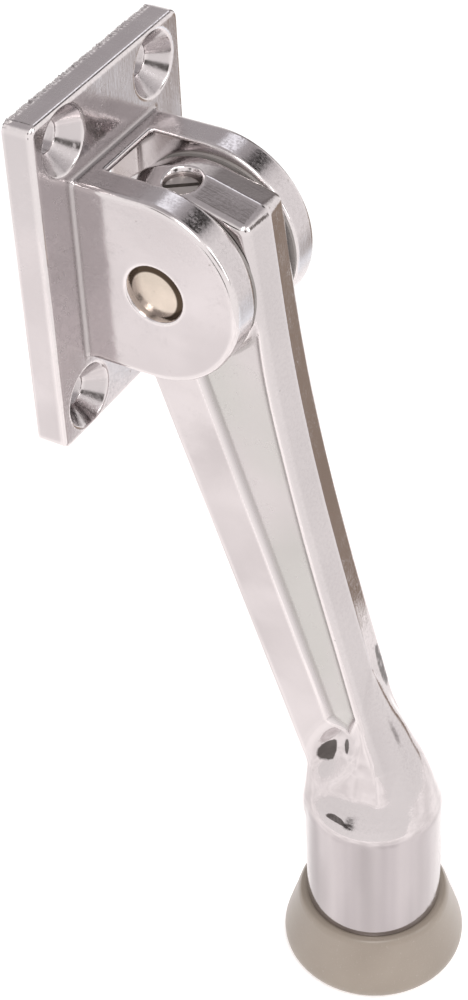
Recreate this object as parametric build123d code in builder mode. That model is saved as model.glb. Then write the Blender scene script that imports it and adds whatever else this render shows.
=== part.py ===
"""Kick-down floor door holder: cast bracket, swinging arm, sprung detent, rubber tip.

Millimetres, +Z up.  Origin at the centre of the bracket's back face, which lies
against the door (door plane Y = 0); the arm projects toward -Y and the pivot
runs along X.
"""
import os
from math import atan2, cos, hypot, radians, sin, sqrt

from build123d import *

os.makedirs("parts", exist_ok=True)

# ---------------------------------------------------------------- driving sizes
# mounting plate
PLATE_W = 35.0
PLATE_H = 50.8
PLATE_T = 4.6
PLATE_CORNER_R = 1.4
PLATE_EDGE_R = 0.5
# four countersunk fixing holes
HOLE_DX = 21.7
HOLE_DZ = 40.4
HOLE_R = 2.3
CSK_R = 4.75
CSK_ANGLE = 82.0
# ears
EAR_OUT = 10.4          # outer face, from mid-plane
EAR_IN = 5.6            # inner face, from mid-plane
EAR_R = 13.9            # end radius and half height
EAR_ARC_Y = -14.8       # centre of the end radius
EAR_EDGE_R = 0.45
BRIDGE_Y = -7.0         # front of the two bridges that tie the ears together
# pivot
PIV_Y = -16.2
PIV_Z = 0.0
PIN_R = 4.25
PIN_BORE_R = 4.30
PIN_RECESS = 0.75
PIN_DOME = 0.45
# clearance swept by the head of the arm
SWEEP_R = 15.98
WINDOW_HALF_H = 10.9
# arm casting
ARM_HALF_W = 5.0
HUB_R = 13.35
NOSE_R = 2.2
FLUTE_DEPTH = 0.9
# side washers
WASHER_IN = 5.1
WASHER_R = 12.4
# detent
BORE_X = -2.0
BORE_R = 2.5
SCREW_TOP = 12.0
SCREW_L = 3.0
PLUNGER_R = 2.35
PLUNGER_TOP = 6.2
SPRING_R = 1.65
SPRING_WIRE = 0.28
PLUNGER_GAP = 0.03
PARK_ANGLE = 150.0      # arm angle at which the plunger finds its notch
NOTCH_DEPTH = 0.45
SPRING_PITCH = 0.78
SLOT_TURN = 35.0
# flutes in the arm's side faces, as (y, z) on the flat face
FLUTE_HUB_R = 13.0
FLUTE_TOP_BACK = (-14.4, -2.0)
FLUTE_LOW_BACK = (-37.9, -73.4)
FLUTE_V = (-40.8, -75.4)
FLUTE_FRONT = [
    (-27.9, -2.0),
    (-28.45, -10.0),
    (-31.40, -27.0),
    (-34.90, -43.0),
    (-38.80, -58.5),
    (-42.10, -71.8),
]
# foot
FOOT_Y = -42.9
FOOT_R = 10.6
FOOT_TOP = -91.8
NECK_TOP = -71.0        # where the boss starts to swell, inside the arm
NECK = [(0.3, -71.0), (2.2, -74.0), (4.6, -78.0), (7.4, -82.9), (9.4, -87.2)]  # (radius, z)
FOOT_BOT = -113.6
SPIGOT_R = 8.0
SPIGOT_BOT = -120.6
RUBBER_BOT = -124.4
RUBBER_R = 14.4

# ---------------------------------------------------------------- bracket
with BuildPart() as bracket:
    with BuildSketch(Plane.XZ) as s:
        Rectangle(PLATE_W, PLATE_H)
    extrude(amount=PLATE_T)
    corner_edges = bracket.edges().filter_by(Axis.Y)
    fillet(corner_edges, PLATE_CORNER_R)
    front_rim = bracket.faces().sort_by(Axis.Y)[0].edges()
    fillet(front_rim, PLATE_EDGE_R)
    # ears: a U-shaped block, its side faces at +-EAR_OUT
    with BuildSketch(Plane.YZ.offset(-EAR_OUT)) as s:
        with Locations((EAR_ARC_Y, 0)):
            Circle(EAR_R)
        with Locations(((EAR_ARC_Y - 0.5 * PLATE_T) / 2, 0)):
            Rectangle(abs(EAR_ARC_Y) - 0.5 * PLATE_T, 2 * EAR_R)
    extrude(amount=2 * EAR_OUT)
    rim = [
        e
        for e in bracket.edges()
        if abs(abs(e.center().X) - EAR_OUT) < 0.01 and e.center().Y < -PLATE_T - 1.0
    ]
    fillet(rim, EAR_EDGE_R)
    # slot between the ears, in front of the bridges
    with BuildSketch(Plane.YZ.offset(-EAR_IN)) as s:
        with Locations((BRIDGE_Y - 20, 0)):
            Rectangle(40, 60)
        with Locations((PIV_Y, PIV_Z)):
            Circle(SWEEP_R)
        with Locations((-PLATE_T / 2, 0)):
            Rectangle(PLATE_T + 2.0, 2 * WINDOW_HALF_H)
    extrude(amount=2 * EAR_IN, mode=Mode.SUBTRACT)
    # pivot bore and the four countersunk holes
    with Locations(Plane((-EAR_OUT, PIV_Y, PIV_Z), z_dir=(-1, 0, 0))):
        Hole(PIN_R, depth=2 * EAR_OUT)
    with Locations(Plane((0, -PLATE_T, 0), x_dir=(1, 0, 0), z_dir=(0, -1, 0))):
        with GridLocations(HOLE_DX, HOLE_DZ, 2, 2):
            CounterSinkHole(HOLE_R, CSK_R, depth=PLATE_T, counter_sink_angle=CSK_ANGLE)
bracket.part.label = "bracket"
export_step(bracket.part, "parts/bracket.step")

# ---------------------------------------------------------------- arm
# The outline is given on the parting line (mid-plane) and again, drawn in by
# DRAW_IN, on the flat side faces; each half of the casting is lofted between them.
DRAW_IN = 1.0
TOP_TILT = 15.0
FRONT = [
    (-29.00, 3.0),
    (-30.55, -10.0),
    (-33.45, -27.0),
    (-37.00, -43.0),
    (-40.90, -58.5),
    (-44.90, -74.0),
]
TOE_Y, TOE_Z = -47.2, -81.0
BACK_HI = (-10.35, -19.2)
BACK_LO = (-32.20, -83.3)
END_Z = -95.0


def outline(d):
    """Corner points of the arm's outline drawn in by d: front, back, hub arc."""
    fr = []
    for i, (y, z) in enumerate(FRONT):
        y0, z0 = FRONT[max(i - 1, 0)]
        y1, z1 = FRONT[min(i + 1, len(FRONT) - 1)]
        n = hypot(y1 - y0, z1 - z0)
        ty, tz = (y1 - y0) / n, (z1 - z0) / n
        fr.append((y - tz * d, z + ty * d))
    toe = (TOE_Y + d, TOE_Z)
    end_f = (TOE_Y + d - 0.6, END_Z)
    bn = hypot(BACK_LO[0] - BACK_HI[0], BACK_LO[1] - BACK_HI[1])
    by, bz = (BACK_LO[0] - BACK_HI[0]) / bn, (BACK_LO[1] - BACK_HI[1]) / bn
    off_y, off_z = bz * d, -by * d
    lo = (BACK_LO[0] + off_y, BACK_LO[1] + off_z)
    r = HUB_R - d
    # back line meets the hub circle
    py, pz = lo[0] - PIV_Y, lo[1] - PIV_Z
    b = py * by + pz * bz
    c = py * py + pz * pz - r * r
    t = -b - sqrt(b * b - c)
    hub_b = (lo[0] + by * t, lo[1] + bz * t)
    ang = radians(90.0 + TOP_TILT)
    tan_p = (PIV_Y + r * cos(ang), PIV_Z + r * sin(ang))
    a0 = atan2(hub_b[1] - PIV_Z, hub_b[0] - PIV_Y)
    am = (a0 + ang) / 2
    mid = (PIV_Y + r * cos(am), PIV_Z + r * sin(am))
    # top flat meets the front line, extended
    dy, dz = cos(radians(180.0 + TOP_TILT)), sin(radians(180.0 + TOP_TILT))
    k = (fr[0][0] - fr[1][0]) / (fr[0][1] - fr[1][1])
    u = (fr[0][0] + k * (tan_p[1] - fr[0][1]) - tan_p[0]) / (dy - k * dz)
    corner = (tan_p[0] + dy * u, tan_p[1] + dz * u)
    return fr, toe, end_f, lo, hub_b, mid, tan_p, corner, k


fr0, toe0, end0, lo0, hb0, mid0, tp0, cn0, k0 = outline(0.0)
fr1, toe1, end1, lo1, hb1, mid1, tp1, cn1, k1 = outline(DRAW_IN)

with BuildPart() as arm:
    with BuildSketch(Plane.YZ) as s0:
        with BuildLine() as l0:
            Line(cn0, fr0[0])
            Spline(*fr0, tangents=[(-k0, -1), (-0.26, -1)])
            Line(fr0[-1], toe0)
            Line(toe0, end0)
            Line(end0, (lo0[0] - 0.9, END_Z))
            Line((lo0[0] - 0.9, END_Z), lo0)
            Line(lo0, hb0)
            ThreePointArc(hb0, mid0, tp0)
            Line(tp0, cn0)
        make_face()
        fillet(s0.vertices().sort_by_distance(Vector(0, *cn0))[0], NOSE_R)
    with BuildSketch(Plane.YZ.offset(ARM_HALF_W)) as s1:
        with BuildLine() as l1:
            Line(cn1, fr1[0])
            Spline(*fr1, tangents=[(-k1, -1), (-0.26, -1)])
            Line(fr1[-1], toe1)
            Line(toe1, end1)
            Line(end1, (lo1[0] - 0.9, END_Z))
            Line((lo1[0] - 0.9, END_Z), lo1)
            Line(lo1, hb1)
            ThreePointArc(hb1, mid1, tp1)
            Line(tp1, cn1)
        make_face()
        fillet(s1.vertices().sort_by_distance(Vector(ARM_HALF_W, *cn1))[0], NOSE_R)
    loft(ruled=True)
    mirror(about=Plane.YZ)
    # long flutes in both side faces, rounded off around the hub
    for side in (-1, 1):
        with BuildSketch(Plane.YZ.offset(side * ARM_HALF_W)) as fs:
            with BuildLine() as fl:
                Polyline(FLUTE_TOP_BACK, FLUTE_LOW_BACK, FLUTE_V, FLUTE_FRONT[-1])
                Spline(*reversed(FLUTE_FRONT))
                Line(FLUTE_FRONT[0], FLUTE_TOP_BACK)
            make_face()
            with Locations((PIV_Y, PIV_Z)):
                Circle(FLUTE_HUB_R, mode=Mode.SUBTRACT)
            fillet(fs.vertices().group_by(Axis.Z)[-1], 0.9)
        extrude(amount=-side * FLUTE_DEPTH, mode=Mode.SUBTRACT)
    # boss that carries the rubber tip, with the spigot below it
    with BuildSketch(Plane.XZ.offset(-FOOT_Y)) as s:
        with BuildLine() as l:
            Line((0, NECK_TOP), NECK[0])
            Spline(*NECK, (FOOT_R, FOOT_TOP), tangents=[(0.25, -1), (0, -1)])
            Polyline(
                (FOOT_R, FOOT_TOP),
                (FOOT_R, FOOT_BOT),
                (SPIGOT_R, FOOT_BOT),
                (SPIGOT_R, FOOT_BOT - 2.2),
                (SPIGOT_R - 0.8, FOOT_BOT - 2.6),
                (SPIGOT_R - 0.8, FOOT_BOT - 4.6),
                (SPIGOT_R, FOOT_BOT - 5.0),
                (SPIGOT_R, SPIGOT_BOT + 1.0),
                (SPIGOT_R - 1.0, SPIGOT_BOT),
                (0, SPIGOT_BOT),
                (0, NECK_TOP),
            )
        make_face()
    revolve(axis=Axis((0, FOOT_Y, 0), (0, 0, 1)))
    # pivot bore and the radial bore of the detent
    with Locations(Plane((-ARM_HALF_W, PIV_Y, PIV_Z), z_dir=(-1, 0, 0))):
        Hole(PIN_BORE_R, depth=2 * ARM_HALF_W)
    with BuildSketch(Plane.XY.offset(PIV_Z)) as s:
        with Locations((BORE_X, PIV_Y)):
            Circle(BORE_R)
    extrude(amount=20.0, mode=Mode.SUBTRACT)
arm.part.label = "arm"
export_step(arm.part, "parts/arm.step")

# ---------------------------------------------------------------- pivot pin
PIN_HALF_L = EAR_OUT - PIN_RECESS
with BuildPart() as pivot_pin:
    with BuildSketch(Plane.XY) as s:
        with BuildLine() as l:
            Line((0, 0), (PIN_HALF_L, 0))
            ThreePointArc(
                (PIN_HALF_L, 0),
                (PIN_HALF_L - PIN_DOME * 0.28, PIN_R * 0.53),
                (PIN_HALF_L - PIN_DOME, PIN_R),
            )
            Line((PIN_HALF_L - PIN_DOME, PIN_R), (0, PIN_R))
            Line((0, PIN_R), (0, 0))
        make_face()
    revolve(axis=Axis.X)
    mirror(about=Plane.YZ)
with BuildPart() as pin_notch:
    with BuildSketch(Plane.XZ) as s:
        with BuildLine() as l:
            Polyline(
                (BORE_X - 2.6, PIN_R + 1.0),
                (BORE_X - 1.7, PIN_R - NOTCH_DEPTH),
                (BORE_X + 1.7, PIN_R - NOTCH_DEPTH),
                (BORE_X + 2.6, PIN_R + 1.0),
                close=True,
            )
        make_face()
    extrude(amount=2.0, both=True)
pin_body = pivot_pin.part.moved(Location((0, PIV_Y, PIV_Z)))
notch_body = (
    Location((0, PIV_Y, PIV_Z)) * Rotation(-PARK_ANGLE, 0, 0) * pin_notch.part
)
with BuildPart() as pivot_pin:
    add(pin_body)
    add(notch_body, mode=Mode.SUBTRACT)
pivot_pin.part.label = "pivot_pin"
export_step(pivot_pin.part, "parts/pivot_pin.step")

# ---------------------------------------------------------------- side washers
with BuildPart() as washer_left:
    with BuildSketch(Plane.YZ.offset(-EAR_IN)) as s:
        with Locations((PIV_Y, PIV_Z)):
            Circle(WASHER_R)
            Circle(PIN_R + 0.1, mode=Mode.SUBTRACT)
    extrude(amount=EAR_IN - WASHER_IN)
washer_left.part.label = "friction_washer_left"
export_step(washer_left.part, "parts/friction_washer_left.step")

with BuildPart() as washer_right:
    with BuildSketch(Plane.YZ.offset(WASHER_IN)) as s:
        with Locations((PIV_Y, PIV_Z)):
            Circle(WASHER_R)
            Circle(PIN_R + 0.1, mode=Mode.SUBTRACT)
    extrude(amount=EAR_IN - WASHER_IN)
washer_right.part.label = "friction_washer_right"
export_step(washer_right.part, "parts/friction_washer_right.step")

# ---------------------------------------------------------------- detent
tip_z = PIV_Z + PIN_R + PLUNGER_GAP
with BuildPart() as plunger:
    with BuildSketch(Plane.XZ.offset(-PIV_Y)) as s:
        with BuildLine() as l:
            ThreePointArc(
                (BORE_X, tip_z),
                (BORE_X + PLUNGER_R * 0.55, tip_z + 0.2),
                (BORE_X + PLUNGER_R, tip_z + 0.75),
            )
            Polyline(
                (BORE_X + PLUNGER_R, tip_z + 0.75),
                (BORE_X + PLUNGER_R, PLUNGER_TOP),
                (BORE_X + 1.15, PLUNGER_TOP),
                (BORE_X + 1.15, PLUNGER_TOP + 0.7),
                (BORE_X + 0.95, PLUNGER_TOP + 0.9),
                (BORE_X, PLUNGER_TOP + 0.9),
                (BORE_X, tip_z),
            )
        make_face()
    revolve(axis=Axis((BORE_X, PIV_Y, 0), (0, 0, 1)))
plunger.part.label = "detent_plunger"
export_step(plunger.part, "parts/detent_plunger.step")

SCREW_BOT = SCREW_TOP - SCREW_L
spring_low = PLUNGER_TOP + SPRING_WIRE + 0.02
spring_high = SCREW_BOT - SPRING_WIRE - 0.02
with BuildPart() as spring:
    with BuildLine() as l:
        Helix(
            pitch=SPRING_PITCH,
            height=spring_high - spring_low,
            radius=SPRING_R,
            center=(BORE_X, PIV_Y, spring_low),
        )
    with BuildSketch(Plane(origin=l.line @ 0, z_dir=l.line % 0)) as s:
        Circle(SPRING_WIRE)
    sweep(is_frenet=True)
spring.part.label = "detent_spring"
export_step(spring.part, "parts/detent_spring.step")

with BuildPart() as screw:
    with BuildSketch(Plane.XY.offset(SCREW_BOT)) as s:
        with Locations((BORE_X, PIV_Y)):
            Circle(BORE_R)
    extrude(amount=SCREW_L)
    chamfer(screw.faces().sort_by(Axis.Z)[-1].edges(), 0.35)
    chamfer(screw.faces().sort_by(Axis.Z)[0].edges(), 0.35)
    with BuildSketch(Plane.XY.offset(SCREW_TOP)) as s:
        with Locations((BORE_X, PIV_Y)):
            Rectangle(0.8, 6.0, rotation=SLOT_TURN)
    extrude(amount=-1.0, mode=Mode.SUBTRACT)
screw.part.label = "tension_screw"
export_step(screw.part, "parts/tension_screw.step")

# ---------------------------------------------------------------- rubber tip
with BuildPart() as tip:
    with BuildSketch(Plane.XZ.offset(-FOOT_Y)) as s:
        with BuildLine() as l:
            Polyline(
                (0, SPIGOT_BOT),
                (SPIGOT_R - 1.0, SPIGOT_BOT),
                (SPIGOT_R, SPIGOT_BOT + 1.0),
                (SPIGOT_R, FOOT_BOT - 5.0),
                (SPIGOT_R - 0.8, FOOT_BOT - 4.6),
                (SPIGOT_R - 0.8, FOOT_BOT - 2.6),
                (SPIGOT_R, FOOT_BOT - 2.2),
                (SPIGOT_R, FOOT_BOT),
                (FOOT_R + 0.5, FOOT_BOT),
            )
            Spline(
                (FOOT_R + 0.5, FOOT_BOT),
                (12.15, -114.5),
                (12.55, -116.0),
                (13.45, -118.8),
                (14.2, -121.2),
                (RUBBER_R, -122.7),
                tangents=[(1, 0), (0.0, -1)],
            )
            ThreePointArc((RUBBER_R, -122.7), (13.95, -123.9), (12.8, RUBBER_BOT))
            Polyline(
                (12.8, RUBBER_BOT),
                (9.0, RUBBER_BOT),
                (7.8, RUBBER_BOT + 1.2),
                (0, RUBBER_BOT + 1.2),
                (0, SPIGOT_BOT),
            )
        make_face()
    revolve(axis=Axis((0, FOOT_Y, 0), (0, 0, 1)))
tip.part.label = "rubber_tip"
export_step(tip.part, "parts/rubber_tip.step")
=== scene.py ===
import math
import bmesh
import bpy
import numpy as np
from mathutils import Matrix, Vector


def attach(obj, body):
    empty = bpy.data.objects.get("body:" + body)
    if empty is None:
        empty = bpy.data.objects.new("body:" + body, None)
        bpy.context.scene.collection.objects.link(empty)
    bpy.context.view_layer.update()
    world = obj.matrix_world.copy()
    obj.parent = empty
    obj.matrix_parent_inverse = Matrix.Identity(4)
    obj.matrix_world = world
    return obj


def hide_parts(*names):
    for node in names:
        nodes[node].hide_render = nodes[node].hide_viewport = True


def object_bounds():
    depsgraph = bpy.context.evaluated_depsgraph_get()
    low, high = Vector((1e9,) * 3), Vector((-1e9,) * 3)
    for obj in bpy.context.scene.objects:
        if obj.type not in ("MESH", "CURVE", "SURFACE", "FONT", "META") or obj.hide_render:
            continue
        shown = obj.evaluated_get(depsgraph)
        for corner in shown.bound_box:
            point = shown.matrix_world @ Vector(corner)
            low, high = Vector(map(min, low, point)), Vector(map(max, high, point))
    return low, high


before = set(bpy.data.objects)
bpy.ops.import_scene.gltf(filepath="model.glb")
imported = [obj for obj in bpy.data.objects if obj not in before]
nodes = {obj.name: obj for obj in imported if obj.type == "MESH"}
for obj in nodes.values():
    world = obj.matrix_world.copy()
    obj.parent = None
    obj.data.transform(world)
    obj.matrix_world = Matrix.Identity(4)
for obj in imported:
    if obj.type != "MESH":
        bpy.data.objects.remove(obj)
cad_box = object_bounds()

# --------------------------------------------------------------------------
# sizes in millimetres, as in the CAD
PIV_Y = -16.2
HUB_R = 13.35
ARM_W = 5.0
DRAW_IN = 1.0
TOP_TILT = 15.0
FRONT = [(-29.00, 3.0), (-30.55, -10.0), (-33.45, -27.0), (-37.00, -43.0), (-40.90, -58.5), (-44.90, -74.0)]
TOE = (-47.2, -81.0)
BACK_HI = (-10.35, -19.2)
BACK_LO = (-32.20, -83.3)
FOOT_Y = -42.9
FOOT_R = 10.6
FOOT_BOT = -113.6
SPIGOT_R = 8.0
SPIGOT_BOT = -120.6


# --------------------------------------------------------------------------
# distance-field helpers
def smax(a, b, k):
    h = np.maximum(k - np.abs(a - b), 0.0) / k
    return np.maximum(a, b) + h * h * k * 0.25


def smin(a, b, k):
    h = np.maximum(k - np.abs(a - b), 0.0) / k
    return np.minimum(a, b) - h * h * k * 0.25


def sd_poly(p, q, V):
    best = np.full(p.shape, 1e9)
    inside = np.zeros(p.shape, bool)
    n = len(V)
    for i in range(n):
        a = V[i]
        b = V[(i + 1) % n]
        e0, e1 = b[0] - a[0], b[1] - a[1]
        wx = p - a[0]
        wy = q - a[1]
        t = np.clip((wx * e0 + wy * e1) / (e0 * e0 + e1 * e1), 0.0, 1.0)
        best = np.minimum(best, (wx - t * e0) ** 2 + (wy - t * e1) ** 2)
        c = e0 * wy - e1 * wx
        inside ^= ((a[1] <= q) & (b[1] > q) & (c > 0)) | ((a[1] > q) & (b[1] <= q) & (c < 0))
    d = np.sqrt(best)
    return np.where(inside, -d, d)


def cubic(xs, ys, x):
    """Natural cubic spline through the points, xs rising."""
    xs, ys = np.asarray(xs, float), np.asarray(ys, float)
    n = len(xs)
    h = np.diff(xs)
    A = np.eye(n)
    r = np.zeros(n)
    for i in range(1, n - 1):
        A[i, i - 1], A[i, i], A[i, i + 1] = h[i - 1], 2 * (h[i - 1] + h[i]), h[i]
        r[i] = 6 * ((ys[i + 1] - ys[i]) / h[i] - (ys[i] - ys[i - 1]) / h[i - 1])
    m = np.linalg.solve(A, r)
    x = np.asarray(x, float)
    i = np.clip(np.searchsorted(xs, x) - 1, 0, n - 2)
    a, b = xs[i + 1] - x, x - xs[i]
    return (
        m[i] * a**3 / (6 * h[i]) + m[i + 1] * b**3 / (6 * h[i])
        + (ys[i] / h[i] - m[i] * h[i] / 6) * a + (ys[i + 1] / h[i] - m[i + 1] * h[i] / 6) * b
    )


def cubic_hold(z, zs, rs):
    """Smooth monotone curve through the points, zs rising."""
    h = np.diff(zs)
    dl = np.diff(rs) / h
    m = np.zeros(len(zs))
    m[1:-1] = np.where(dl[1:] * dl[:-1] > 0, 2 * dl[1:] * dl[:-1] / (dl[1:] + dl[:-1] - 1e-12), 0.0)
    m[-1] = dl[-1]
    i = np.clip(np.searchsorted(zs, z) - 1, 0, len(zs) - 2)
    t = np.clip((z - zs[i]) / h[i], 0.0, 1.0)
    a = rs[i] * (1 + 2 * t) * (1 - t) ** 2 + rs[i + 1] * t * t * (3 - 2 * t)
    return a + h[i] * (m[i] * t * (1 - t) ** 2 - m[i + 1] * t * t * (1 - t))


def surface(field, lo, hi, h, name, chunk=None):
    """A closed quad mesh of field(x, y, z) = 0 in millimetres, its points put back exactly on the field."""
    ax = [np.arange(math.floor(lo[i] / h) - 1, math.ceil(hi[i] / h) + 2) * h + (0.5 * h if i == 0 else 0.0) for i in range(3)]
    X, Y, Z = ax[0][:, None, None], ax[1][None, :, None], ax[2][None, None, :]
    F = field.grid(X, Y, Z).astype(np.float32)
    ins = F < 0
    n = [len(a) for a in ax]
    cnt = np.zeros((n[0] - 1, n[1] - 1, n[2] - 1), np.int8)
    for dx in (0, 1):
        for dy in (0, 1):
            for dz in (0, 1):
                cnt += ins[dx:n[0] - 1 + dx, dy:n[1] - 1 + dy, dz:n[2] - 1 + dz]
    act = (cnt > 0) & (cnt < 8)
    I, J, K = np.nonzero(act)
    idx = np.full(act.shape, -1, np.int32)
    idx[I, J, K] = np.arange(len(I))
    val = {}
    for dx in (0, 1):
        for dy in (0, 1):
            for dz in (0, 1):
                val[dx, dy, dz] = F[I + dx, J + dy, K + dz].astype(float)
    P = np.zeros((len(I), 3))
    W = np.zeros(len(I))
    for axis in range(3):
        o = [a for a in range(3) if a != axis]
        for u in (0, 1):
            for v in (0, 1):
                c0 = [0, 0, 0]
                c0[o[0]], c0[o[1]] = u, v
                c1 = list(c0)
                c1[axis] = 1
                a, b = val[tuple(c0)], val[tuple(c1)]
                m = (a < 0) != (b < 0)
                t = np.where(m, a / np.where(m, a - b, 1.0), 0.0)
                q = np.array(c0, float)[None, :] + t[:, None] * (np.array(c1, float) - np.array(c0, float))[None, :]
                P += q * m[:, None]
                W += m
    P = P / W[:, None]
    P = np.stack([ax[0][I] + P[:, 0] * h, ax[1][J] + P[:, 1] * h, ax[2][K] + P[:, 2] * h], 1)
    quads = []
    for axis in range(3):
        o = [a for a in range(3) if a != axis]
        s0 = [slice(None)] * 3
        s1 = [slice(None)] * 3
        s0[axis], s1[axis] = slice(0, n[axis] - 1), slice(1, n[axis])
        A, B = ins[tuple(s0)], ins[tuple(s1)]
        E = np.stack(np.nonzero(A != B), 1)
        ok = np.ones(len(E), bool)
        for a in o:
            ok &= (E[:, a] > 0) & (E[:, a] < n[a] - 1)
        E = E[ok]
        a_in = A[E[:, 0], E[:, 1], E[:, 2]]
        ring = []
        for du, dv in ((-1, -1), (0, -1), (0, 0), (-1, 0)):
            c = E.copy()
            c[:, o[0]] += du
            c[:, o[1]] += dv
            ring.append(idx[c[:, 0], c[:, 1], c[:, 2]])
        R = np.stack(ring, 1)
        flip = a_in if axis != 1 else ~a_in
        R[~flip] = R[~flip][:, ::-1]
        quads.append(R)
    Q = np.concatenate(quads)
    eps = 0.01
    for it in range(4):
        f, g = slope(field, P, eps)
        gg = np.maximum((g * g).sum(1), 0.05)
        step = g * (f / gg)[:, None]
        ln = np.linalg.norm(step, axis=1)
        step *= np.minimum(1.0, 0.5 * h / np.maximum(ln, 1e-9))[:, None]
        if it < 3:
            P = P - step
    N = g / np.linalg.norm(g, axis=1)[:, None]
    me = bpy.data.meshes.new(name)
    me.vertices.add(len(P))
    me.vertices.foreach_set("co", (P * 0.001).ravel())
    me.loops.add(len(Q) * 4)
    me.loops.foreach_set("vertex_index", Q.ravel().astype(np.int32))
    me.polygons.add(len(Q))
    me.polygons.foreach_set("loop_start", np.arange(0, len(Q) * 4, 4, dtype=np.int32))
    me.polygons.foreach_set("use_smooth", np.ones(len(Q), bool))
    me.update(calc_edges=True)
    me.validate()
    me.normals_split_custom_set_from_vertices([tuple(v) for v in N])
    # how sharply the surface turns: convex edges get wear polish and a painted highlight, concave corners get
    # dullness, dirt and painted shade
    e = 0.4
    lap = -6.0 * field.at(P[:, 0], P[:, 1], P[:, 2])
    for a in range(3):
        D = np.zeros(3)
        D[a] = e
        for sgn in (1, -1):
            q = P + sgn * D
            lap = lap + field.at(q[:, 0], q[:, 1], q[:, 2])
    lap = lap / (e * e)
    for nm, v in (("edge", np.clip(lap / 1.6, 0.0, 1.0)), ("corner", np.clip(-lap / 1.6, 0.0, 1.0)), ("recess", field.recess(P)), ("painted_shade", field.painted_shade(P)), ("boss_shade", field.boss_shade(P)), ("grain", np.clip((N[:, 2] - 0.25) / 0.4, 0.0, 1.0) * 0.75 + 0.65 * np.clip((-N[:, 1] - 0.7) / 0.25, 0.0, 1.0))):
        at = me.attributes.new(nm, "FLOAT", "POINT")
        at.data.foreach_set("value", np.asarray(v, np.float32))
    ob = bpy.data.objects.new(name, me)
    bpy.context.scene.collection.objects.link(ob)
    return ob


def slope(field, P, eps):
    f = field.at(P[:, 0], P[:, 1], P[:, 2])
    g = np.empty_like(P)
    for a in range(3):
        D = np.zeros(3)
        D[a] = eps
        hi = P + D
        lo = P - D
        g[:, a] = (field.at(hi[:, 0], hi[:, 1], hi[:, 2]) - field.at(lo[:, 0], lo[:, 1], lo[:, 2])) / (2 * eps)
    return f, g


# --------------------------------------------------------------------------
# the arm
def arm_outline():
    fy = [p[0] for p in FRONT]
    fz = [p[1] for p in FRONT]
    k = (fy[0] - fy[1]) / (fz[0] - fz[1])
    ang = math.radians(90 + TOP_TILT)
    tp = np.array([PIV_Y + HUB_R * math.cos(ang), HUB_R * math.sin(ang)])
    d = np.array([math.cos(math.radians(180 + TOP_TILT)), math.sin(math.radians(180 + TOP_TILT))])
    u = (fy[0] + k * (tp[1] - fz[0]) - tp[0]) / (d[0] - k * d[1])
    cn = tp + d * u
    e = np.array([-k, -1.0]) / math.hypot(k, 1.0)
    turn = math.acos(float(np.dot(d, e)))
    r = 2.2
    tl = r * math.tan(turn / 2)
    a, b = cn - d * tl, cn + e * tl
    nrm = np.array([d[1], -d[0]])
    if np.dot(nrm, e) < 0:
        nrm = -nrm
    c = a + nrm * r
    a0 = math.atan2(*(a - c)[::-1])
    a1 = math.atan2(*(b - c)[::-1])
    while a1 - a0 > math.pi:
        a1 -= 2 * math.pi
    while a1 - a0 < -math.pi:
        a1 += 2 * math.pi
    pts = [c + r * np.array([math.cos(t), math.sin(t)]) for t in np.linspace(a0, a1, 14)]
    zs = np.linspace(3.0, -74.0, 78)
    ys = cubic(fz[::-1], fy[::-1], zs)
    pts += [np.array([y, z]) for y, z in zip(ys, zs)]
    pts += [np.array(TOE), np.array([TOE[0] - 0.5, -95.0]), np.array([-33.3, -95.0]), np.array([-33.0, -85.6]), np.array(BACK_LO)]
    bl = np.array(BACK_LO)
    bd = np.array(BACK_LO) - np.array(BACK_HI)
    bd /= np.linalg.norm(bd)
    w = bl - np.array([PIV_Y, 0.0])
    bb = w @ bd
    cc = w @ w - HUB_R**2
    t = -bb - math.sqrt(bb * bb - cc)
    hb = bl + bd * t
    h0 = math.atan2(hb[1], hb[0] - PIV_Y)
    pts += [np.array([PIV_Y + HUB_R * math.cos(t), HUB_R * math.sin(t)]) for t in np.linspace(h0, ang, 90)]
    return np.array(pts)


FLUTE = None


def flute_outline():
    fr = [(-27.9, -2.0), (-28.45, -10.0), (-31.40, -27.0), (-34.90, -43.0), (-38.80, -58.5), (-42.10, -71.8)]
    zs = np.linspace(-2.0, -71.8, 50)
    ys = cubic([p[1] for p in fr][::-1], [p[0] for p in fr][::-1], zs)
    pts = [np.array([y, z]) for y, z in zip(ys, zs)]
    pts += [np.array([-40.8, -75.4]), np.array([-37.9, -73.4]), np.array([-14.4, -2.0])]
    return np.array(pts)


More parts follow.
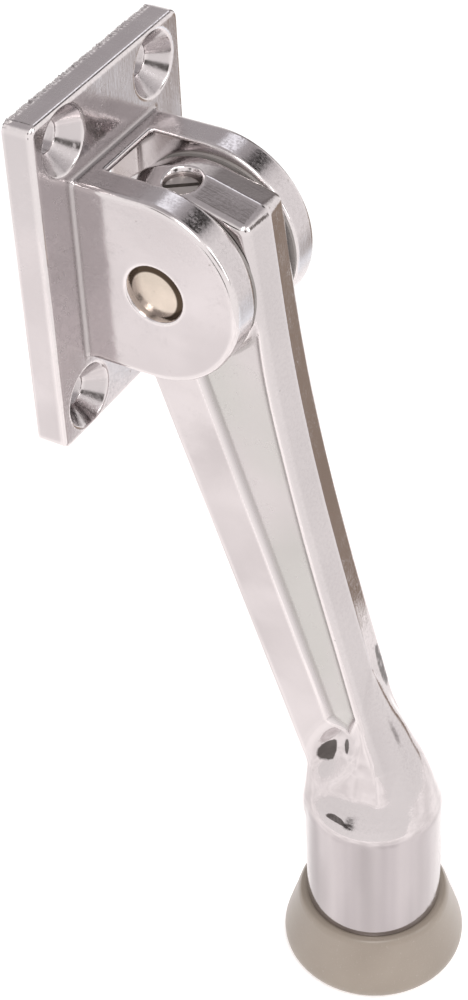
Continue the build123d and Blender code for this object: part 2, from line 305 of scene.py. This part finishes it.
class Arm:
    OUT = arm_outline()
    FL = flute_outline()
    # radius of the boss against height, to the front and back and to the sides
    BZ = np.array([-140.0, -93.2, -92.4, -91.5, -90.6, -89.5, -88.2, -86.6, -84.6, -82.2, -79.8, -77.1, -74.0, -70.5, -60.0])
    BR = np.array([10.6, 10.6, 10.57, 10.42, 10.2, 9.95, 9.6, 9.15, 8.5, 7.6, 6.5, 5.2, 3.4, 1.3, -6.0])
    BS = np.array([10.6, 10.6, 10.55, 10.36, 9.95, 9.2, 8.35, 7.55, 6.9, 6.1, 5.0, 4.0, 2.8, 1.3, -6.0])

    def core(self, x, y, z, d2, df):
        ax = np.sqrt(x * x + 0.02)
        f1 = (d2 + DRAW_IN * ax / ARM_W) * 0.98
        # flutes fade in over a sloping wall
        t = np.clip(0.5 - df / 1.3, 0.0, 1.0)
        fl = 0.9 * t * t * (3 - 2 * t)
        f2 = (ax - ARM_W + fl) * 0.9
        f = smax(f1, f2, 1.1)
        # boss
        rr = np.sqrt(x * x + (y - FOOT_Y) ** 2)
        side = np.clip((x * x) / (rr * rr + 1e-6), 0.0, 1.0)
        side = side * side * (3 - 2 * side)
        br = cubic_hold(z, self.BZ, self.BR) * (1 - side) + cubic_hold(z, self.BZ, self.BS) * side
        fb = (rr - br) * np.where(z > -92.0, 0.75, 1.0)
        fb = smax(fb, FOOT_BOT - z, 0.3)
        f = np.where(z < -62.0, smin(f, fb, 2.2), f)
        # thumb-shaped scoop where each flute runs out above the boss
        u = (y + 38.5) * 0.90 + (z + 79.6) * 0.43
        v = -(y + 38.5) * 0.43 + (z + 79.6) * 0.90
        sc = np.sqrt((u / 2.5) ** 2 + (v / 5.6) ** 2 + ((np.abs(x) - 7.1) / 3.5) ** 2 + 1e-6)
        f = np.where(z < -62.0, smax(f, (1.0 - sc) * 2.3, 2.0), f)
        f = smax(f, (FOOT_BOT - z), 0.3)
        # spigot inside the rubber
        sp = smax(rr - SPIGOT_R, SPIGOT_BOT - z, 0.8)
        sp = np.maximum(sp, z - FOOT_BOT - 2.0)
        f = np.minimum(f, sp)
        # pivot bore and detent bore
        rp = np.sqrt((y - PIV_Y) ** 2 + z * z) - 4.3
        f = smax(f, -rp, 0.2)
        rb = np.sqrt((x + 2.0) ** 2 + (y - PIV_Y) ** 2)
        hole = np.maximum(rb - 2.5 - np.clip((z - 12.4) * 0.5, 0.0, 0.5), -z)
        f = smax(f, -hole, 0.35)
        return f

    def grid(self, X, Y, Z):
        yy = np.broadcast_to(Y[0], (1, Y.shape[1], Z.shape[2]))[0]
        zz = np.broadcast_to(Z[0], (1, Y.shape[1], Z.shape[2]))[0]
        d2 = sd_poly(yy, zz, self.OUT).astype(np.float32)[None]
        df = self.flute(yy, zz).astype(np.float32)[None]
        return self.core(X.astype(np.float32), Y.astype(np.float32), Z.astype(np.float32), d2, df)

    def flute(self, y, z):
        df = sd_poly(y, z, self.FL)
        hub = 13.0 - np.sqrt((y - PIV_Y) ** 2 + z * z)
        return smax(df, hub, 1.2)

    def at(self, x, y, z):
        return self.core(x, y, z, sd_poly(y, z, self.OUT), self.flute(y, z))

    def recess(self, P):
        t = np.clip(0.1 - self.flute(P[:, 1], P[:, 2]) / 0.7, 0.0, 1.0)
        return t * np.clip((np.abs(P[:, 0]) - 3.2) / 0.5, 0.0, 1.0)

    # mask for the painted reflection on the boss below its shoulder
    def boss_shade(self, P):
        return np.clip((-91.6 - P[:, 2]) / 0.8, 0.0, 1.0)

    def painted_shade(self, P):
        """Painted shade: the scoop's back wall, the hollow over the shoulder and a faint patch on the side above,
        darkened in colour.
        """
        ax = np.abs(P[:, 0])
        u = (P[:, 1] + 37.3) * 0.90 + (P[:, 2] + 81.0) * 0.43
        v = -(P[:, 1] + 37.3) * 0.43 + (P[:, 2] + 81.0) * 0.90
        w = 1.55 - 0.26 * v
        a = np.clip((1.0 - np.sqrt((u / np.maximum(w, 0.3)) ** 2 + (v / 3.3) ** 2)) * 1.7, 0.0, 1.0)
        a2 = np.clip((1.0 - np.sqrt(((P[:, 1] + 40.6) / 0.75) ** 2 + ((P[:, 2] + 78.6) / 1.9) ** 2)) * 1.1, 0.0, 0.6)
        a = np.maximum(a, a2) * np.clip((7.2 - ax) / 1.0, 0.0, 1.0) * (ax > 2.5)
        u = P[:, 1] + 41.2
        v = P[:, 2] + 89.6
        b = np.clip((1.0 - np.sqrt((u / 2.4) ** 2 + ((v + 0.10 * u * u) / 0.55) ** 2)) * 2.0, 0.0, 1.0)
        b = b * (ax > 6.0) * 0.85
        c = np.clip((1.0 - np.sqrt(((P[:, 0] - 3.6) / 1.9) ** 2 + ((P[:, 2] + 67.5) / 5.5) ** 2)) * 1.2, 0.0, 0.42) 
        front = np.interp(P[:, 2], [p[1] for p in FRONT][::-1], [p[0] for p in FRONT][::-1])
        c = c * (P[:, 1] < front + 1.25)
        return np.maximum(np.maximum(a, b), c)


# --------------------------------------------------------------------------
# the bracket
class Bracket:
    def core(self, x, y, z):
        ax = np.abs(x)
        az = np.abs(z)
        # plate
        qx, qz = ax - (17.5 - 1.4), az - (25.4 - 1.4)
        d = np.sqrt(np.maximum(qx, 0) ** 2 + np.maximum(qz, 0) ** 2) + np.minimum(np.maximum(qx, qz), 0) - 1.4
        plate = smax(d, -4.6 - y, 0.75)
        # ears block
        du = np.where(y < -14.8, np.sqrt((y + 14.8) ** 2 + z * z), az) - 13.9
        ears = smax(du, ax - 10.4, 0.8)
        # slot with the swept circle and the window
        rc = np.sqrt((y - PIV_Y) ** 2 + z * z) - 15.98
        s2 = smin(smin(y + 7.0, rc, 0.3), np.maximum(az - 10.9, -y - 7.0), 0.3)
        slot = smax(s2, ax - 5.6, 0.5)
        ears = smax(ears, -slot, 0.55)
        win = smax(np.maximum(az - 10.9, ax - 5.6), -12.0 - y, 0.3)
        plate = smax(plate, -np.maximum(smax(s2, ax - 5.6, 0.5), -30 - y), 0.35)
        f = smax(smin(ears, plate, 0.7), y, 0.2)
        # pin bores
        rp = np.sqrt((y - PIV_Y) ** 2 + z * z) - 4.25
        f = smax(f, -rp, 0.35)
        # countersinks
        rho = np.sqrt((ax - 10.85) ** 2 + (az - 20.2) ** 2)
        chip = (0.5 + 0.5 * np.sin(x * 5.3 + 2.0 * np.sin(x * 2.1)) * np.sin(x * 11.7 + 1.3 * np.sin(x * 3.7)))
        f = f + 0.34 * chip * np.clip((y + 1.2) / 1.2, 0.0, 1.0) * np.clip((z - 24.2) / 1.2, 0.0, 1.0)
        cone = (rho - np.clip(4.75 - (y + 4.6) * 0.869, 2.3, 4.9)) * 0.8
        f = smax(f, -cone, 0.22)
        return f

    def grid(self, X, Y, Z):
        return self.core(X.astype(np.float32), Y.astype(np.float32), Z.astype(np.float32))

    def at(self, x, y, z):
        return self.core(x, y, z)

    def boss_shade(self, P):
        return np.zeros(len(P))

    def painted_shade(self, P):
        return np.zeros(len(P))

    def recess(self, P):
        return np.clip((5.9 - np.abs(P[:, 0])) / 0.5, 0.0, 1.0) * np.clip((13.2 - np.abs(P[:, 2])) / 0.5, 0.0, 1.0)


def lathe(name, prof, cy, seg=160):
    """A closed ring of (radius, z) points, first and last on the axis, turned about the foot's axis."""
    vs, fs, rows = [], [], []
    for r, z in prof:
        if r < 1e-6:
            rows.append([len(vs)])
            vs.append((0.0, cy * 0.001, z * 0.001))
        else:
            rows.append(list(range(len(vs), len(vs) + seg)))
            for k in range(seg):
                t = 2 * math.pi * k / seg
                vs.append((r * math.cos(t) * 0.001, (cy + r * math.sin(t)) * 0.001, z * 0.001))
    for a, b in zip(rows, rows[1:]):
        for k in range(seg):
            k2 = (k + 1) % seg
            if len(a) == 1:
                fs.append((a[0], b[k2], b[k]))
            elif len(b) == 1:
                fs.append((a[k], a[k2], b[0]))
            else:
                fs.append((a[k], a[k2], b[k2], b[k]))
    me = bpy.data.meshes.new(name)
    me.from_pydata(vs, [], fs)
    bm = bmesh.new()
    bm.from_mesh(me)
    bmesh.ops.recalc_face_normals(bm, faces=bm.faces)
    bm.to_mesh(me)
    bm.free()
    me.polygons.foreach_set("use_smooth", [True] * len(me.polygons))
    ob = bpy.data.objects.new(name, me)
    bpy.context.scene.collection.objects.link(ob)
    return ob


def smooth_profile(pts, n=8):
    out = []
    P = [np.array(p, float) for p in pts]
    for i in range(len(P) - 1):
        a, b = P[i], P[i + 1]
        ta = (P[i + 1] - P[i - 1]) / 2 if i else b - a
        tb = (P[i + 2] - P[i]) / 2 if i + 2 < len(P) else b - a
        for k in range(n):
            t = k / n
            out.append(tuple((2 * t**3 - 3 * t * t + 1) * a + (t**3 - 2 * t * t + t) * ta + (3 * t * t - 2 * t**3) * b + (t**3 - t * t) * tb))
    out.append(tuple(P[-1]))
    return out


H = 0.25
tip_prof = [(0, -120.6), (7.0, -120.6), (7.98, -119.7), (7.98, -113.62), (10.3, -113.58)]
tip_prof += smooth_profile([(10.95, -113.42), (11.55, -113.62), (11.98, -114.25), (12.25, -115.1), (12.75, -116.9), (13.3, -118.7), (13.85, -120.5), (14.25, -121.9), (14.39, -122.8), (14.25, -123.6), (13.75, -124.15), (12.9, -124.38)])
tip_prof += smooth_profile([(9.4, -124.4), (9.0, -124.33), (8.6, -123.85), (8.2, -123.35), (7.7, -123.2)], 4) + [(0, -123.2)]
tip = lathe("rubber_tip_moulding", tip_prof, FOOT_Y)
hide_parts("rubber_tip")
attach(tip, "arm")
arm = surface(Arm(), (-11.2, -54.2, -121.2), (11.2, -1.5, 14.2), H, "arm_casting")
bracket = surface(Bracket(), (-17.8, -29.2, -25.8), (17.8, 0.4, 25.8), H, "bracket_casting")
for piece, node, body in ((arm, "arm", "arm"), (bracket, "bracket", "base")):
    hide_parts(node)
    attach(piece, body)


# --------------------------------------------------------------------------
# materials
def tree(name):
    m = bpy.data.materials.new(name)
    m.use_nodes = True
    nt = m.node_tree
    b = nt.nodes["Principled BSDF"]
    return m, nt, b


def add(nt, kind, **kw):
    n = nt.nodes.new(kind)
    for k, v in kw.items():
        setattr(n, k, v)
    return n


def noise(nt, scale, detail=2.0, rough=0.5, coord=None, dim="3D"):
    n = add(nt, "ShaderNodeTexNoise")
    n.inputs["Scale"].default_value = scale
    n.inputs["Detail"].default_value = detail
    n.inputs["Roughness"].default_value = rough
    if coord is not None:
        nt.links.new(coord, n.inputs["Vector"])
    return n


def ramp(nt, fac, stops):
    r = add(nt, "ShaderNodeValToRGB")
    els = r.color_ramp.elements
    while len(els) < len(stops):
        els.new(0.5)
    for e, (p, c) in zip(els, stops):
        e.position = p
        e.color = (c, c, c, 1) if not isinstance(c, tuple) else (*c, 1)
    nt.links.new(fac, r.inputs["Fac"])
    return r


def attr(nt, name):
    n = add(nt, "ShaderNodeAttribute")
    n.attribute_name = name
    return n.outputs["Fac"]


def math2(nt, op, a, b, clamp=False):
    n = add(nt, "ShaderNodeMath", operation=op)
    n.use_clamp = clamp
    for k, v in enumerate((a, b)):
        if isinstance(v, (int, float)):
            n.inputs[k].default_value = v
        else:
            nt.links.new(v, n.inputs[k])
    return n.outputs["Value"]


def tint(nt, a, fac, colour, blend="MIX"):
    mx = add(nt, "ShaderNodeMix", data_type="RGBA", blend_type=blend)
    nt.links.new(fac, mx.inputs["Factor"])
    nt.links.new(a, mx.inputs["A"])
    mx.inputs["B"].default_value = (*colour, 1)
    return mx.outputs["Result"]


def bump(nt, height, strength, distance, normal=None, invert=False):
    n = add(nt, "ShaderNodeBump")
    n.invert = invert
    n.inputs["Strength"].default_value = strength
    n.inputs["Distance"].default_value = distance
    nt.links.new(height, n.inputs["Height"])
    if normal is not None:
        nt.links.new(normal, n.inputs["Normal"])
    return n.outputs["Normal"]


def chrome(name, colour, rough, haze, wave, sand, inner, seed=0.0):
    m, nt, b = tree(name)
    tc = add(nt, "ShaderNodeTexCoord")
    mp = add(nt, "ShaderNodeMapping")
    mp.inputs["Location"].default_value = (seed, seed * 1.7, seed * 0.6)
    nt.links.new(tc.outputs["Object"], mp.inputs["Vector"])
    co = mp.outputs["Vector"]
    big = noise(nt, 85.0, 1.5, 0.45, co).outputs["Fac"]
    mid = noise(nt, 420.0, 3.0, 0.55, co).outputs["Fac"]
    fine = noise(nt, 2300.0, 2.0, 0.6, co).outputs["Fac"]
    # linishing lines left by the belt, drawn out along the casting
    ms = add(nt, "ShaderNodeMapping")
    ms.inputs["Scale"].default_value = (1.0, 0.07, 0.07)
    nt.links.new(co, ms.inputs["Vector"])
    lines = noise(nt, 2600.0, 2.0, 0.6, ms.outputs["Vector"]).outputs["Fac"]
    edge, corner, recess = attr(nt, "edge"), attr(nt, "corner"), attr(nt, "recess")
    # faces that look up kept the belt's sandy grain, side faces are smoother
    grainy = attr(nt, "grain")
    patch = ramp(nt, mid, [(0.46, 0.0), (0.70, 1.0)]).outputs["Color"]
    grain = ramp(nt, fine, [(0.38, 0.0), (0.68, 1.0)]).outputs["Color"]
    dull = math2(nt, "MULTIPLY", patch, grain)
    r0 = math2(nt, "MULTIPLY", dull, haze)
    r1 = math2(nt, "ADD", r0, rough)
    r2 = math2(nt, "ADD", r1, math2(nt, "MULTIPLY", math2(nt, "MULTIPLY", grainy, grain), haze * 0.8))
    r3 = math2(nt, "ADD", r2, math2(nt, "MULTIPLY", recess, 0.12))
    r4 = math2(nt, "ADD", r3, math2(nt, "MULTIPLY", corner, 0.22))
    r5 = math2(nt, "SUBTRACT", r4, math2(nt, "MULTIPLY", edge, 0.04), clamp=True)
    nt.links.new(r5, b.inputs["Roughness"])
    base = ramp(nt, big, [(0.3, tuple(c * 0.94 for c in colour)), (0.7, colour)]).outputs["Color"]
    # painted shade: recesses (the arm's flutes, the bracket's slot between the ears) darker in colour, in patches
    recess_shade_drift = ramp(nt, noise(nt, 70.0, 1.0, 0.4, co).outputs["Fac"], [(0.38, 0.25), (0.60, 1.0)]).outputs["Color"]
    base = tint(nt, base, math2(nt, "MULTIPLY", recess, recess_shade_drift), tuple(c * k for c, k in zip(colour, inner)))
    # painted highlight: convex edges lighter in colour; their lower roughness is the polish from wear
    base = tint(nt, base, math2(nt, "MULTIPLY", edge, 0.60), (0.80, 0.76, 0.755))
    # concave corners darkened in colour: partly dirt, partly painted shade
    base = tint(nt, base, math2(nt, "MULTIPLY", corner, 0.42), (0.24, 0.22, 0.21))
    # painted reflection: the boss a shade darker in colour, in faint upright bands
    tm = add(nt, "ShaderNodeMapping")
    tm.inputs["Scale"].default_value = (1.0, 1.0, 0.02)
    nt.links.new(co, tm.inputs["Vector"])
    reflected_bands = ramp(nt, noise(nt, 210.0, 2.0, 0.55, tm.outputs["Vector"]).outputs["Fac"], [(0.36, 0.55), (0.64, 1.0)]).outputs["Color"]
    base = tint(nt, base, math2(nt, "MULTIPLY", attr(nt, "boss_shade"), reflected_bands), tuple(c * k for c, k in zip(colour, (0.70, 0.69, 0.70))))
    # painted shade: the scoop's back wall and the hollow over the shoulder darkened nearly to black, in ragged
    # patches
    painted_shade_ragged = math2(nt, "ADD", math2(nt, "MULTIPLY", attr(nt, "painted_shade"), 1.7), math2(nt, "MULTIPLY", math2(nt, "SUBTRACT", mid, 0.5), 1.6))
    painted_shade_fac = ramp(nt, math2(nt, "MULTIPLY", painted_shade_ragged, math2(nt, "GREATER_THAN", attr(nt, "painted_shade"), 0.02)), [(0.42, 0.0), (0.72, 0.9)]).outputs["Color"]
    base = tint(nt, base, painted_shade_fac, (0.035, 0.028, 0.024))
    pits = add(nt, "ShaderNodeTexVoronoi")
    pits.inputs["Scale"].default_value = 620.0
    nt.links.new(co, pits.inputs["Vector"])
    pr = ramp(nt, pits.outputs["Distance"], [(0.0, 1.0), (0.13, 0.0)]).outputs["Color"]
    sel = ramp(nt, mid, [(0.60, 0.0), (0.66, 1.0)]).outputs["Color"]
    pm = math2(nt, "MULTIPLY", pr, sel)
    base = tint(nt, base, pm, (0.34, 0.31, 0.29))
    base = tint(nt, base, math2(nt, "MULTIPLY", math2(nt, "MULTIPLY", grainy, grain), 0.28), tuple(c * 0.72 for c in colour))
    nt.links.new(base, b.inputs["Base Color"])
    b.inputs["Metallic"].default_value = 1.0
    n1 = bump(nt, big, wave, 0.0011)
    n2 = bump(nt, mid, wave * 0.6, 0.00010, n1)
    n3 = bump(nt, pm, 0.6, 0.00006, n2, invert=True)
    sandy = math2(nt, "MULTIPLY", grainy, math2(nt, "ADD", math2(nt, "MULTIPLY", fine, 0.55), math2(nt, "MULTIPLY", lines, 0.45)))
    n4 = bump(nt, sandy, sand, 0.00006, n3)
    n5 = bump(nt, lines, sand * 0.35, 0.00002, n4)
    nt.links.new(n5, b.inputs["Normal"])
    return m


def rubber(name):
    m, nt, b = tree(name)
    tc = add(nt, "ShaderNodeTexCoord")
    co = tc.outputs["Object"]
    big = noise(nt, 90.0, 3.0, 0.5, co)
    fine = noise(nt, 3200.0, 3.0, 0.6, co)
    cr = ramp(nt, big.outputs["Fac"], [(0.3, (0.225, 0.187, 0.150)), (0.7, (0.268, 0.226, 0.184))])
    dust = ramp(nt, fine.outputs["Fac"], [(0.62, 0.0), (0.8, 0.35)])
    mx = add(nt, "ShaderNodeMix", data_type="RGBA")
    nt.links.new(dust.outputs["Color"], mx.inputs["Factor"])
    nt.links.new(cr.outputs["Color"], mx.inputs["A"])
    mx.inputs["B"].default_value = (0.52, 0.49, 0.45, 1)
    nt.links.new(mx.outputs["Result"], b.inputs["Base Color"])
    rr = add(nt, "ShaderNodeMapRange")
    rr.inputs["To Min"].default_value = 0.36
    rr.inputs["To Max"].default_value = 0.50
    b.inputs["Coat Weight"].default_value = 0.6
    b.inputs["Coat Roughness"].default_value = 0.30
    nt.links.new(big.outputs["Fac"], rr.inputs["Value"])
    nt.links.new(rr.outputs["Result"], b.inputs["Roughness"])
    bp = add(nt, "ShaderNodeBump")
    bp.inputs["Strength"].default_value = 0.35
    bp.inputs["Distance"].default_value = 0.00006
    nt.links.new(fine.outputs["Fac"], bp.inputs["Height"])
    nt.links.new(bp.outputs["Normal"], b.inputs["Normal"])
    return m


def plain_metal(name, colour, rough, grain=0.2):
    m, nt, b = tree(name)
    tc = add(nt, "ShaderNodeTexCoord")
    co = tc.outputs["Object"]
    n1 = noise(nt, 300.0, 3.0, 0.6, co)
    n2 = noise(nt, 2500.0, 2.0, 0.6, co)
    cr = ramp(nt, n1.outputs["Fac"], [(0.3, tuple(c * 0.9 for c in colour)), (0.7, colour)])
    nt.links.new(cr.outputs["Color"], b.inputs["Base Color"])
    b.inputs["Metallic"].default_value = 1.0
    rr = add(nt, "ShaderNodeMapRange")
    rr.inputs["To Min"].default_value = rough
    rr.inputs["To Max"].default_value = rough + 0.15
    nt.links.new(n2.outputs["Fac"], rr.inputs["Value"])
    nt.links.new(rr.outputs["Result"], b.inputs["Roughness"])
    bp = add(nt, "ShaderNodeBump")
    bp.inputs["Strength"].default_value = grain
    bp.inputs["Distance"].default_value = 0.00004
    nt.links.new(n2.outputs["Fac"], bp.inputs["Height"])
    nt.links.new(bp.outputs["Normal"], b.inputs["Normal"])
    return m


def pin_crescent_shade(m):
    """Painted shade: a crescent darkened on the pin's end where it dips below its bore, standing in for the bore
    wall's reflection.
    """
    nt = m.node_tree
    b = nt.nodes["Principled BSDF"]
    geo = add(nt, "ShaderNodeTexCoord").outputs["Object"]
    off = add(nt, "ShaderNodeVectorMath", operation="SUBTRACT")
    off.inputs[1].default_value = (0.0, -0.01558, -0.0008)
    nt.links.new(geo, off.inputs[0])
    flat = add(nt, "ShaderNodeVectorMath", operation="MULTIPLY")
    flat.inputs[1].default_value = (0.0, 1.0, 1.0)
    nt.links.new(off.outputs["Vector"], flat.inputs[0])
    ln = add(nt, "ShaderNodeVectorMath", operation="LENGTH")
    nt.links.new(flat.outputs["Vector"], ln.inputs[0])
    mr = add(nt, "ShaderNodeMapRange", interpolation_type="SMOOTHSTEP")
    mr.inputs["From Min"].default_value = 0.00335
    mr.inputs["From Max"].default_value = 0.00362
    nt.links.new(ln.outputs["Value"], mr.inputs["Value"])
    old = b.inputs["Base Color"].links[0].from_socket
    nt.links.new(tint(nt, old, mr.outputs["Result"], (0.07, 0.05, 0.035)), b.inputs["Base Color"])
    return m


def plastic(name, colour):
    m, nt, b = tree(name)
    tc = add(nt, "ShaderNodeTexCoord")
    n1 = noise(nt, 500.0, 3.0, 0.6, tc.outputs["Object"])
    cr = ramp(nt, n1.outputs["Fac"], [(0.3, tuple(c * 0.85 for c in colour)), (0.7, colour)])
    nt.links.new(cr.outputs["Color"], b.inputs["Base Color"])
    rr = add(nt, "ShaderNodeMapRange")
    rr.inputs["To Min"].default_value = 0.65
    rr.inputs["To Max"].default_value = 0.85
    nt.links.new(n1.outputs["Fac"], rr.inputs["Value"])
    nt.links.new(rr.outputs["Result"], b.inputs["Roughness"])
    b.inputs["Specular IOR Level"].default_value = 0.25
    nt.links.new(bump(nt, n1.outputs["Fac"], 0.3, 0.00003), b.inputs["Normal"])
    return m


def give(ob, mat):
    if not ob.material_slots:
        ob.data.materials.append(mat)
    for s in ob.material_slots:
        s.material = mat


m_chrome = chrome("chrome_arm", (0.565, 0.530, 0.533), 0.07, 0.16, 0.20, 0.30, (0.86, 0.90, 0.865))
m_chrome_b = chrome("chrome_bracket", (0.565, 0.530, 0.535), 0.12, 0.18, 0.20, 0.32, (0.62, 0.57, 0.54), seed=0.031)
give(arm, m_chrome)
give(bracket, m_chrome_b)
give(nodes["pivot_pin"], pin_crescent_shade(plain_metal("nickel_pin", (0.64, 0.56, 0.48), 0.14, 0.06)))
give(nodes["detent_plunger"], plain_metal("plunger_steel", (0.72, 0.70, 0.67), 0.25))
give(nodes["detent_spring"], plain_metal("spring_wire", (0.60, 0.59, 0.58), 0.3))
give(nodes["tension_screw"], plain_metal("screw_steel", (0.45, 0.42, 0.40), 0.32))
m_rubber = rubber("grey_rubber")
give(tip, m_rubber)
give(nodes["rubber_tip"], m_rubber)
m_washer = plastic("washer_acetal", (0.27, 0.25, 0.24))
give(nodes["friction_washer_left"], m_washer)
give(nodes["friction_washer_right"], m_washer)


# --------------------------------------------------------------------------
# floor, light and camera
def mesh_plane(name, pts, mat):
    me = bpy.data.meshes.new(name)
    me.from_pydata(pts, [], [tuple(range(len(pts)))])
    ob = bpy.data.objects.new(name, me)
    bpy.context.scene.collection.objects.link(ob)
    me.materials.append(mat)
    return ob


floor_z = cad_box[0][2]
mf, nt, b = tree("floor_paper")
tc = add(nt, "ShaderNodeTexCoord")
n1 = noise(nt, 6.0, 3.0, 0.5, tc.outputs["Object"])
cr = ramp(nt, n1.outputs["Fac"], [(0.3, (0.80, 0.78, 0.775)), (0.7, (0.83, 0.81, 0.805))])
nt.links.new(cr.outputs["Color"], b.inputs["Base Color"])
b.inputs["Roughness"].default_value = 0.8
b.inputs["Emission Color"].default_value = (1.0, 0.985, 0.98, 1)
n2 = noise(nt, 42.0, 1.0, 0.4, tc.outputs["Object"])
es = add(nt, "ShaderNodeMapRange")
es.inputs["From Min"].default_value = 0.35
es.inputs["From Max"].default_value = 0.65
es.inputs["To Min"].default_value = 0.30
es.inputs["To Max"].default_value = 0.60
nt.links.new(n2.outputs["Fac"], es.inputs["Value"])
nt.links.new(es.outputs["Result"], b.inputs["Emission Strength"])
FLOOR_R = 0.18
ring = [(FLOOR_R * math.cos(t) - 0.035, FLOOR_R * math.sin(t) + 0.02, floor_z) for t in np.linspace(0, 2 * math.pi, 96, endpoint=False)]
floor = mesh_plane("floor", ring, mf)


def area(name, loc, aim, size, power, colour=(1, 1, 1), size_y=None):
    d = bpy.data.lights.new(name, "AREA")
    d.energy = power
    d.color = colour
    d.shape = "RECTANGLE"
    d.size = size
    d.size_y = size_y or size
    o = bpy.data.objects.new(name, d)
    bpy.context.scene.collection.objects.link(o)
    o.location = loc
    o.rotation_euler = (Vector(aim) - Vector(loc)).to_track_quat("-Z", "Y").to_euler()
    return o


area("key", (-0.9, -0.5, 1.2), (0, -0.02, -0.05), 0.5, 7.0, (1.0, 0.985, 0.97))
area("side", (0.2, -1.3, 0.5), (0, -0.02, -0.05), 0.35, 3.0, (0.98, 0.99, 1.0), 0.9)

w = bpy.data.worlds.new("studio")
bpy.context.scene.world = w
w.use_nodes = True
wn = w.node_tree
bg = wn.nodes["Background"]
tc = add(wn, "ShaderNodeTexCoord")
DIRS = tc.outputs["Generated"]


def patch_of(direction, inner, outer):
    """1 within inner degrees of a direction, 0 beyond outer degrees."""
    v = Vector(direction).normalized()
    dt = add(wn, "ShaderNodeVectorMath", operation="DOT_PRODUCT")
    wn.links.new(DIRS, dt.inputs[0])
    dt.inputs[1].default_value = v
    mr = add(wn, "ShaderNodeMapRange", interpolation_type="SMOOTHSTEP")
    mr.inputs["From Min"].default_value = math.cos(math.radians(outer))
    mr.inputs["From Max"].default_value = math.cos(math.radians(inner))
    wn.links.new(dt.outputs["Value"], mr.inputs["Value"])
    return mr.outputs["Result"]


def over(colour, fac, new):
    mx = add(wn, "ShaderNodeMix", data_type="RGBA")
    wn.links.new(fac, mx.inputs["Factor"])
    if isinstance(colour, tuple):
        mx.inputs["A"].default_value = (*colour, 1)
    else:
        wn.links.new(colour, mx.inputs["A"])
    mx.inputs["B"].default_value = (*new, 1)
    return mx.outputs["Result"]


c = (1.08, 1.05, 1.045)
for direction, inner, outer, colour in (
    ((0.3, 0.25, 1.0), 36, 66, (0.50, 0.475, 0.485)),
    ((0.646, -0.404, -0.648), 9, 20, (1.10, 1.13, 1.18)),
    ((0.85, -0.33, -0.40), 8, 17, (0.36, 0.285, 0.235)),
    ((0.25, -0.93, 0.25), 8, 20, (0.20, 0.18, 0.17)),
    ((0.646, -0.30, 0.70), 7, 12, (0.03, 0.028, 0.025)),
    ((0.87, 0.11, 0.48), 4, 12, (0.23, 0.21, 0.215)),
    ((0.33, 0.02, 0.94), 2, 7, (0.26, 0.24, 0.24)),
    ((0.50, 0.55, 0.67), 2, 7, (0.16, 0.15, 0.145)),
    ((-0.88, 0.24, 0.41), 5, 11, (0.06, 0.05, 0.045)),
    ((-0.90, 0.12, -0.38), 4, 8, (0.05, 0.045, 0.04)),
    ((0.1, 0.95, 0.15), 10, 24, (0.14, 0.12, 0.11)),
    ((0.98, 0.1, 0.1), 8, 22, (0.20, 0.18, 0.17)),
    ((-0.45, -0.80, 0.35), 6, 14, (0.12, 0.11, 0.105)),
    ((-0.25, -0.35, 0.9), 10, 17, (2.0, 1.97, 1.95)),
    ((0.72, 0.16, 0.70), 5, 9, (1.4, 1.42, 1.5)),
    ((0.2, 0.75, 0.7), 6, 11, (1.3, 1.28, 1.25)),
    ((0.62, 0.03, 0.78), 3, 8, (0.72, 0.70, 0.73)),
):
    c = over(c, patch_of(direction, inner, outer), colour)
lp = add(wn, "ShaderNodeLightPath")
c = over(c, lp.outputs["Is Camera Ray"], (1.0, 1.0, 1.0))
wn.links.new(c, bg.inputs["Color"])
bg.inputs["Strength"].default_value = 1.13

sc = bpy.context.scene
sc.view_settings.view_transform = "Standard"
sc.view_settings.look = "None"
sc.view_settings.exposure = 0.0

AZ, EL, ROLL = -57.99, 40.369, -3.015
F_PX, DIST = 2263.687, 0.327234
TARGET = Vector((0.00088, -0.019783, -0.042105))
a, e, r = math.radians(AZ), math.radians(EL), math.radians(ROLL)
d = Vector((math.sin(a) * math.cos(e), -math.cos(a) * math.cos(e), math.sin(e)))
right = Vector((math.cos(a), math.sin(a), 0.0))
up = d.cross(right)
rr_ = right * math.cos(r) + up * math.sin(r)
uu_ = -right * math.sin(r) + up * math.cos(r)
cam_d = bpy.data.cameras.new("camera")
cam = bpy.data.objects.new("camera", cam_d)
bpy.context.scene.collection.objects.link(cam)
cam_d.sensor_fit = "AUTO"
cam_d.sensor_width = 36.0
cam_d.lens = F_PX * 36.0 / 1000.0
cam_d.clip_start = 0.01
rot = Matrix((rr_, uu_, d)).transposed()
cam.matrix_world = Matrix.Translation(TARGET + d * DIST) @ rot.to_4x4()
bpy.context.scene.camera = cam
